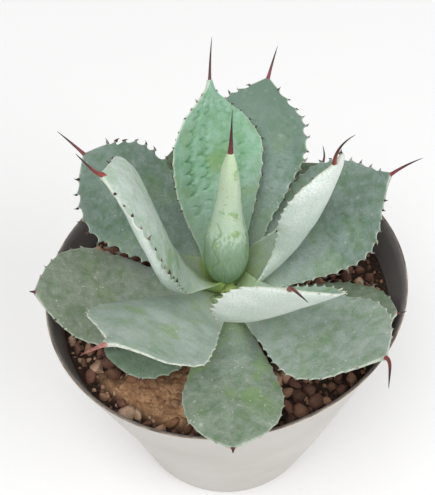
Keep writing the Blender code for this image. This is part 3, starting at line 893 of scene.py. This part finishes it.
def leaf_skin(blade):
    """Agave leaf skin under its own wax: the bloom makes it matt, pale and bluish, and it wears
    thin along the prints; lime from watering has dried on it as small white specks."""
    material, add = new_material(f"leaf_skin_{blade.number:02d}")
    skin = add("ShaderNodeAttribute", attribute_name="skin_mm").outputs["Vector"]
    along, edge, outer, mark = [add("ShaderNodeAttribute", attribute_name=name).outputs["Fac"]
                                for name in ("along", "edge_mm", "outer", "print_mark")]
    lengthwise = add("ShaderNodeMapping", {"Vector": skin, "Scale": (0.8, 0.07, 1.0)})
    # Patches of 20, 14, 11 and 5 mm, scratches along the leaf, and a grain under a millimetre
    broad, rub, drift, blotch, scratch, grain = [
        add("ShaderNodeTexNoise", {"Vector": vector, "Scale": scale, "Detail": detail,
                                   "Roughness": roughness, "Distortion": distortion})
        for vector, scale, detail, roughness, distortion in (
            (skin, 0.05, 5.0, 0.62, 0.0), (skin, 0.07, 4.0, 0.6, 0.0), (skin, 0.09, 3.0, 0.6, 0.0),
            (skin, 0.19, 7.0, 0.74, 0.3), (lengthwise, 1.0, 6.0, 0.7, 0.3), (skin, 1.3, 5.0, 0.75, 0.0))]
    inner, back, yellow = blade.inner_face, blade.outer_face, blade.yellowing

    # Inner face: flesh that shows green through thinner bloom
    face = coat(add, tint(inner, 0.78, 0.88, 0.76), inner, (broad, 0.36, 0.64))
    pale, deep = (min(1.0, k * blade.mottling) for k in (0.7, 0.9))
    face = coat(add, face, tint(inner, 1.25, 1.20, 1.27, 0.02), (blotch, 0.48, 0.60, 0.0, pale))
    face = coat(add, face, tint(inner, 0.58, 0.74, 0.50), (blotch, 0.47, 0.37, 0.0, deep))
    face = coat(add, face, tint(inner, 1.30, 1.27, 1.30, 0.04), (scratch, 0.58, 0.64, 0.0, 0.16))
    # Young flesh shows yellow-green in a few rubbed patches
    face = coat(add, face, "#86A662", (rub, 0.52, 0.60), (along, 0.85, 0.6), min(1.0, 1.2 * yellow))
    # Painted shade: the leaf darkens towards its tip, where neighbours shade it
    face = coat(add, face, tint(inner, 0.55, 0.62, 0.54), (along, 0.45, 0.95), blade.tip_shade)
    # Bloom lies low on the leaf, laid on thicker as painted light that lifts the shade deep in the rosette
    face = coat(add, face, "#CDDAD6", (along, 0.62, 0.16), (broad, 0.30, 0.60, 0.5, 1.0), 0.55)
    # Where a neighbour pressed the wax away the flesh shows darker and greener
    face = coat(add, face, tint(inner, 0.50, 0.74, 0.46), mark, 0.35 + 1.1 * blade.prints,
                (blotch, 0.30, 0.55, 1.0, 0.45))
    # The outer face keeps its full bloom
    outside = coat(add, back, tint(back, 0.80, 0.87, 0.83), (broad, 0.40, 0.62, 0.0, 0.8))
    outside = coat(add, outside, tint(back, 0.84, 0.90, 0.86), (blotch, 0.46, 0.56, 0.0, 0.6))
    outside = coat(add, outside, tint(back, 0.58, 0.68, 0.60), mark, 0.7)
    outside = coat(add, outside, "#F0F4EE", (scratch, 0.58, 0.68, 0.0, 0.35))
    face = coat(add, face, outside, outer)
    # Yellow-green flesh towards the neck, where light never built the wax
    face = coat(add, face, "#A3B96F", (along, 0.30, 0.10), (blotch, 0.42, 0.58, 0.05, 1.0), 1.3 * yellow)
    face = coat(add, face, "#93AA4C", (along, 0.13, 0.04), min(1.0, 1.5 * yellow))
    # Thin pale horny line along the margin, broken by wear
    face = coat(add, face, "#DCE1D3", (edge, 0.75, 0.30, 0.0, blade.margin_paleness),
                (blotch, 0.36, 0.52, 0.35, 1.0), (along, 0.14, 0.26))
    # Lime: fine bright specks in drifts, and soft crusts a millimetre or two across
    dots, crusts = [add("ShaderNodeTexVoronoi", {"Vector": skin, "Scale": scale}) for scale in (0.75, 0.34)]
    chance, kept = [add("ShaderNodeSeparateColor", [cells.outputs["Color"]]) for cells in (dots, crusts)]
    limit = share_of(add, (chance, 1.0 - 0.6 * blade.specks, 1.0, 0.0, 0.31), (drift, 0.42, 0.58, 0.4, 1.0))
    inside = add("ShaderNodeMath", [limit, dots], operation="SUBTRACT")
    speck = share_of(add, (inside, 0.0, 0.10, 0.0, 0.75))
    face = coat(add, face, "#E8EBE1", speck)
    face = coat(add, face, "#C9CFC0", (crusts, 0.40, 0.10), (kept, 0.70, 0.78), (blotch, 0.42, 0.60),
                0.12 + 0.6 * blade.specks)
    face = coat(add, face, tint(inner, 0.50, 0.60, 0.48), (grain, 0.40, 0.66, 0.0, 0.40))
    rough = share_of(add, (grain, 0.3, 0.7, 0.50, 0.70))
    return dress(material, {"Base Color": face, "Roughness": rough, "IOR": 1.42, "Specular IOR Level": 0.42},
                 (0.5, 0.5, blotch), (0.4, 0.25, grain), (0.6, 0.2, speck))


def bud_skin():
    """Skin of the furled leaf: grey-green bloom on the swollen foot, darkened low down as painted shade,
    rubbed thin and yellower above in upright streaks and brightened there as painted light, with a green
    bare patch and the creases that other teeth pressed in."""
    material, add = new_material("bud_skin")
    skin = add("ShaderNodeAttribute", attribute_name="skin_mm").outputs["Vector"]
    along, mark = [add("ShaderNodeAttribute", attribute_name=name).outputs["Fac"]
                   for name in ("along", "print_mark")]
    place = add("ShaderNodeTexCoord").outputs["Object"]
    cloud = add("ShaderNodeTexNoise", {"Vector": place, "Scale": 150.0, "Detail": 5.0, "Roughness": 0.65})
    upright = add("ShaderNodeMapping", {"Vector": place, "Scale": (1100.0, 1100.0, 130.0)})
    streak = add("ShaderNodeTexNoise", {"Vector": upright, "Scale": 1.0, "Detail": 4.0})
    grain = add("ShaderNodeTexNoise", {"Vector": skin, "Scale": 1.8, "Detail": 4.0, "Roughness": 0.7})
    # The edge between bloom and rubbed skin is ragged, so the height is shaken by the streaks
    shake = share_of(add, (streak, 0.3, 0.7, -0.05, 0.05))
    height = add("ShaderNodeMath", [along, shake], operation="ADD")
    # Painted shade darkens the ramp towards the bud's foot, deep among the leaves; the pale upper stops are
    # rubbed skin, brightened further as painted light on the top
    face = add("ShaderNodeValToRGB", [height], [
        (0.0, "#577245"), (0.08, "#6B8960"), (0.22, "#86A082"), (0.42, "#A5BDA6"), (0.47, "#CBDFCA"),
        (0.72, "#D2E4CA"), (0.95, "#C9DEB9")])
    most = share_of(add, (along, 0.36, 0.5, 0.05, 0.45))
    for colour, span in (("#DBE6CF", (streak, 0.50, 0.64, 0.0, most)),
                         ("#8FB35A", (cloud, 0.57, 0.64, 0.0, 0.7)),
                         ("#6E8C52", (mark, 0.1, 0.9, 0.0, 0.8)),
                         ("#7F9C70", (grain, 0.42, 0.66, 0.0, 0.3))):
        face = coat(add, face, colour, span)
    return dress(material, {"Base Color": face, "Roughness": 0.52, "IOR": 1.42},
                 (0.5, 0.4, cloud), (0.4, 0.2, streak))


def spine_horn():
    """Horny spine: hard and slightly glossy; young ones purple-black, older ones red-brown at the foot."""
    material, add = new_material("spine_horn")
    run, redness = [add("ShaderNodeAttribute", attribute_name=name).outputs["Fac"]
                    for name in ("run", "redness")]
    young, old, bleached = [add("ShaderNodeValToRGB", [run], stops) for stops in (
        [(0.0, "#8A9A7C"), (0.14, "#8F6A7A"), (0.30, "#5B2A38"), (0.6, "#37202A"), (1.0, "#1C1417")],
        [(0.0, "#9A9A7C"), (0.10, "#B0705A"), (0.24, "#A9443A"), (0.5, "#7E3431"), (0.72, "#3D2422"),
         (1.0, "#231816")],
        [(0.0, "#B3A88E"), (0.2, "#C98F7E"), (0.6, "#BE7F74"), (1.0, "#8A5850")])]
    # A redness over 1 stands for a bleached spine
    face = coat(add, coat(add, young, old, redness), bleached, (redness, 1.0, 2.0))
    place = add("ShaderNodeTexCoord").outputs["Object"]
    streak = add("ShaderNodeTexNoise", {"Vector": place, "Scale": 700.0, "Detail": 3.0})
    face = coat(add, face, "#4A2320", (streak, 0.42, 0.7, 0.0, 0.6))
    return dress(material, {"Base Color": face, "Roughness": 0.38, "IOR": 1.54}, (0.3, 0.2, streak))


def tooth_horn():
    """Small teeth of the same horn: dried dark brown on some leaves, still pale horn on others."""
    material, add = new_material("tooth_horn")
    place = add("ShaderNodeTexCoord").outputs["Object"]
    streak = add("ShaderNodeTexNoise", {"Vector": place, "Scale": 420.0, "Detail": 2.0})
    dried = add("ShaderNodeValToRGB", [streak], [(0.3, "#241816"), (0.55, "#3F2723"), (0.75, "#6A4036")])
    paleness = add("ShaderNodeAttribute", attribute_name="paleness").outputs["Fac"]
    face = coat(add, dried, "#C9C6B2", paleness)
    return dress(material, {"Base Color": face, "Roughness": 0.45, "IOR": 1.54})


def stem_skin():
    """Young stem skin and leaf bases: moist yellow-green above, drying to straw brown at the mix."""
    material, add = new_material("stem_skin")
    place = add("ShaderNodeTexCoord").outputs["Object"]
    cloud = add("ShaderNodeTexNoise", {"Vector": place, "Scale": 260.0, "Detail": 4.0})
    band = add("ShaderNodeAttribute", attribute_name="band").outputs["Fac"]
    drying = add("ShaderNodeValToRGB", [band], [
        (0.0, "#4A3A26"), (0.45, "#7C7448"), (0.75, "#8EA552"), (1.0, "#A3BC66")])
    face = coat(add, drying, "#6B7A35", (cloud, 0.35, 0.7, 0.0, 0.5))
    return dress(material, {"Base Color": face, "Roughness": 0.5}, (0.4, 0.4, cloud))


def clay_grit():
    """Fired clay grains: dry and porous, so dead matt, from dark umber to tan with dusty faces."""
    material, add = new_material("clay_grit")
    tone, loose = [add("ShaderNodeAttribute", attribute_name=name).outputs["Fac"]
                   for name in ("tone", "loose")]
    place = add("ShaderNodeTexCoord").outputs["Object"]
    across = add("ShaderNodeSeparateXYZ", [place]).outputs["X"]
    # Grains towards the far left are paler
    shade = add("ShaderNodeMath", [tone, share_of(add, (across, 0.0, -0.06, 0.0, 0.38))], operation="ADD")
    face = add("ShaderNodeValToRGB", [shade], [
        (0.0, "#4C352F"), (0.35, "#6B4C41"), (0.7, "#8A6553"), (0.9, "#B08A70"), (1.0, "#C4A58B")])
    dust = add("ShaderNodeTexNoise", {"Vector": place, "Scale": 420.0, "Detail": 5.0, "Roughness": 0.7})
    pits = add("ShaderNodeTexNoise", {"Vector": place, "Scale": 1500.0, "Detail": 3.0})
    # Grains caught in the clay are smeared with it
    face = coat(add, face, "#9A7355", (loose, 0.9, 0.45, 0.0, 0.7))
    face = coat(add, face, "#8C6F55", (dust, 0.45, 0.75, 0.0, 0.55))
    face = coat(add, face, "#2C1F18", (pits, 0.55, 0.75, 0.0, 0.6))
    return dress(material, {"Base Color": face, "Roughness": 0.92, "Specular IOR Level": 0.25},
                 (0.7, 0.6, dust), (0.6, 0.3, pits))


def fine_mix():
    """Damp fines and set clay: warm brown lumps; under the loose grains the bed is near black, painted shade.
    """
    material, add = new_material("fine_mix")
    place = add("ShaderNodeTexCoord").outputs["Object"]
    broad = add("ShaderNodeTexNoise", {"Vector": place, "Scale": 190.0, "Detail": 7.0, "Roughness": 0.72})
    lumps = add("ShaderNodeValToRGB", [broad], [
        (0.3, "#7A5844"), (0.48, "#A8805F"), (0.62, "#C9A27C"), (0.75, "#D9B896")])
    grit = add("ShaderNodeTexVoronoi", {"Vector": place, "Scale": 900.0})
    clay = add("ShaderNodeAttribute", attribute_name="clay").outputs["Fac"]
    # Painted shade: where grains lie loose, and against the wall, the bed is near black to stand for the shade
    # in the gaps
    face = coat(add, "#33251D", lumps, clay)
    face = coat(add, face, "#7E6048", (grit, 0.0, 0.5, 0.35, 0.0))
    return dress(material, {"Base Color": face, "Roughness": 0.9, "Specular IOR Level": 0.3},
                 (0.8, 1.0, broad), (0.7, 0.5, grit))


def pot_outside():
    """Blow-moulded polypropylene, pale warm grey: an even satin, with faint scuffs and dust."""
    material, add = new_material("pot_outside")
    place = add("ShaderNodeTexCoord").outputs["Object"]
    cloud = add("ShaderNodeTexNoise", {"Vector": place, "Scale": 22.0, "Detail": 5.0})
    level = add("ShaderNodeMapping", {"Vector": place, "Scale": (60.0, 60.0, 900.0)})
    scuff = add("ShaderNodeTexNoise", {"Vector": level, "Scale": 1.0, "Detail": 3.0})
    face = coat(add, "#C6C1BB", "#B7B1AA", (cloud, 0.35, 0.7, 0.0, 0.5))
    face = coat(add, face, "#B3ABA1", (scuff, 0.62, 0.74, 0.0, 0.35))
    rough = share_of(add, (cloud, 0.3, 0.7, 0.38, 0.5))
    return dress(material, {"Base Color": face, "Roughness": rough, "IOR": 1.49}, (0.15, 0.3, scuff))


def pot_inside():
    """The wall's black inner layer: satin, with faint drawn lines and a bloom of dried mix low down."""
    material, add = new_material("pot_inside")
    place = add("ShaderNodeTexCoord").outputs["Object"]
    cloud = add("ShaderNodeTexNoise", {"Vector": place, "Scale": 60.0, "Detail": 6.0, "Roughness": 0.65})
    height = add("ShaderNodeSeparateXYZ", [place]).outputs["Z"]
    drawn = add("ShaderNodeMapping", {"Vector": place, "Scale": (25.0, 25.0, 1400.0)})
    lines = add("ShaderNodeTexNoise", {"Vector": drawn, "Scale": 1.0, "Detail": 3.0})
    face = coat(add, "#646163", "#8A8683", cloud)
    face = coat(add, face, "#5B4638", (height, (MIX_TOP + 9.0) * MM, (MIX_TOP - 2.0) * MM),
                (cloud, 0.42, 0.66, 0.0, 0.8))
    rough = share_of(add, (cloud, 0.3, 0.7, 0.36, 0.56))
    return dress(material, {"Base Color": face, "Roughness": rough, "IOR": 1.49}, (0.2, 0.2, lines))


def pot_rim():
    """The trimmed edge of the wall, stained tan by mix and water."""
    material, add = new_material("pot_rim")
    place = add("ShaderNodeTexCoord").outputs["Object"]
    cloud = add("ShaderNodeTexNoise", {"Vector": place, "Scale": 180.0, "Detail": 5.0})
    face = add("ShaderNodeValToRGB", [cloud], [(0.35, "#5E4D3E"), (0.5, "#7F6E5C"), (0.68, "#A89A88")])
    return dress(material, {"Base Color": face, "Roughness": 0.6})


def floor_paper():
    """Matt studio paper, almost even."""
    material, add = new_material("floor_paper")
    place = add("ShaderNodeTexCoord").outputs["Object"]
    cloud = add("ShaderNodeTexNoise", {"Vector": place, "Scale": 3.0, "Detail": 2.0})
    return dress(material, {"Base Color": coat(add, "#F3F3F3", "#F5F5F5", cloud), "Roughness": 0.9})


# ---- stage ----

def make_floor(material):
    half = 3000.0
    corners = [(-half, -half, 0), (half, -half, 0), (half, half, 0), (-half, half, 0)]
    floor = mesh_object("floor", corners, [(0, 1, 2, 3)], [material])


def add_light(name, place, aim, size, power, colour):
    lamp = bpy.data.lights.new(name, "AREA")
    lamp.shape, lamp.size, lamp.energy, lamp.color = "DISK", size, power, colour
    obj = bpy.data.objects.new(name, lamp)
    obj.location = place
    obj.rotation_euler = (Vector(aim) - Vector(place)).to_track_quat("-Z", "Y").to_euler()
    bpy.context.scene.collection.objects.link(obj)


def make_lights():
    world = bpy.data.worlds.new("studio")
    world.use_nodes = True
    background = world.node_tree.nodes["Background"].inputs
    background["Color"].default_value = (1.0, 1.0, 1.0, 1.0)
    background["Strength"].default_value = 0.56
    bpy.context.scene.world = world
    add_light("key", (-0.5, -0.8, 2.3), (0, 0, 0.1), 1.7, 29.0, (1.0, 0.995, 0.985))
    add_light("fill", (1.7, -1.0, 1.5), (0, 0, 0.1), 1.7, 20.0, (0.98, 0.99, 1.0))


def make_camera():
    back = Vector((0.0, -math.cos(CAMERA_RISE), math.sin(CAMERA_RISE)))
    camera = bpy.data.cameras.new("camera")
    camera.lens = CAMERA_LENS
    camera.clip_start = 0.01
    obj = bpy.data.objects.new("camera", camera)
    obj.location = CAMERA_AIM + back * CAMERA_DISTANCE
    obj.rotation_euler = (math.pi / 2 - CAMERA_RISE, 0.0, 0.0)
    bpy.context.scene.collection.objects.link(obj)
    bpy.context.scene.camera = obj


def main():
    bpy.context.scene.view_settings.view_transform = "Standard"
    make_camera()
    make_lights()
    make_floor(floor_paper())
    make_pot(pot_outside(), pot_inside(), pot_rim())
    make_mix(fine_mix())
    make_grains(clay_grit())
    make_stem(stem_skin())
    blades = [Blade(row, look, k) for k, (row, look) in enumerate(zip(LEAVES, LOOKS), start=1)]
    for blade in blades:
        make_leaf(blade, leaf_skin(blade))
    make_bud(bud_skin())
    make_spines(blades, bud_tip(), spine_horn())
    make_teeth(blades, tooth_horn())


main()
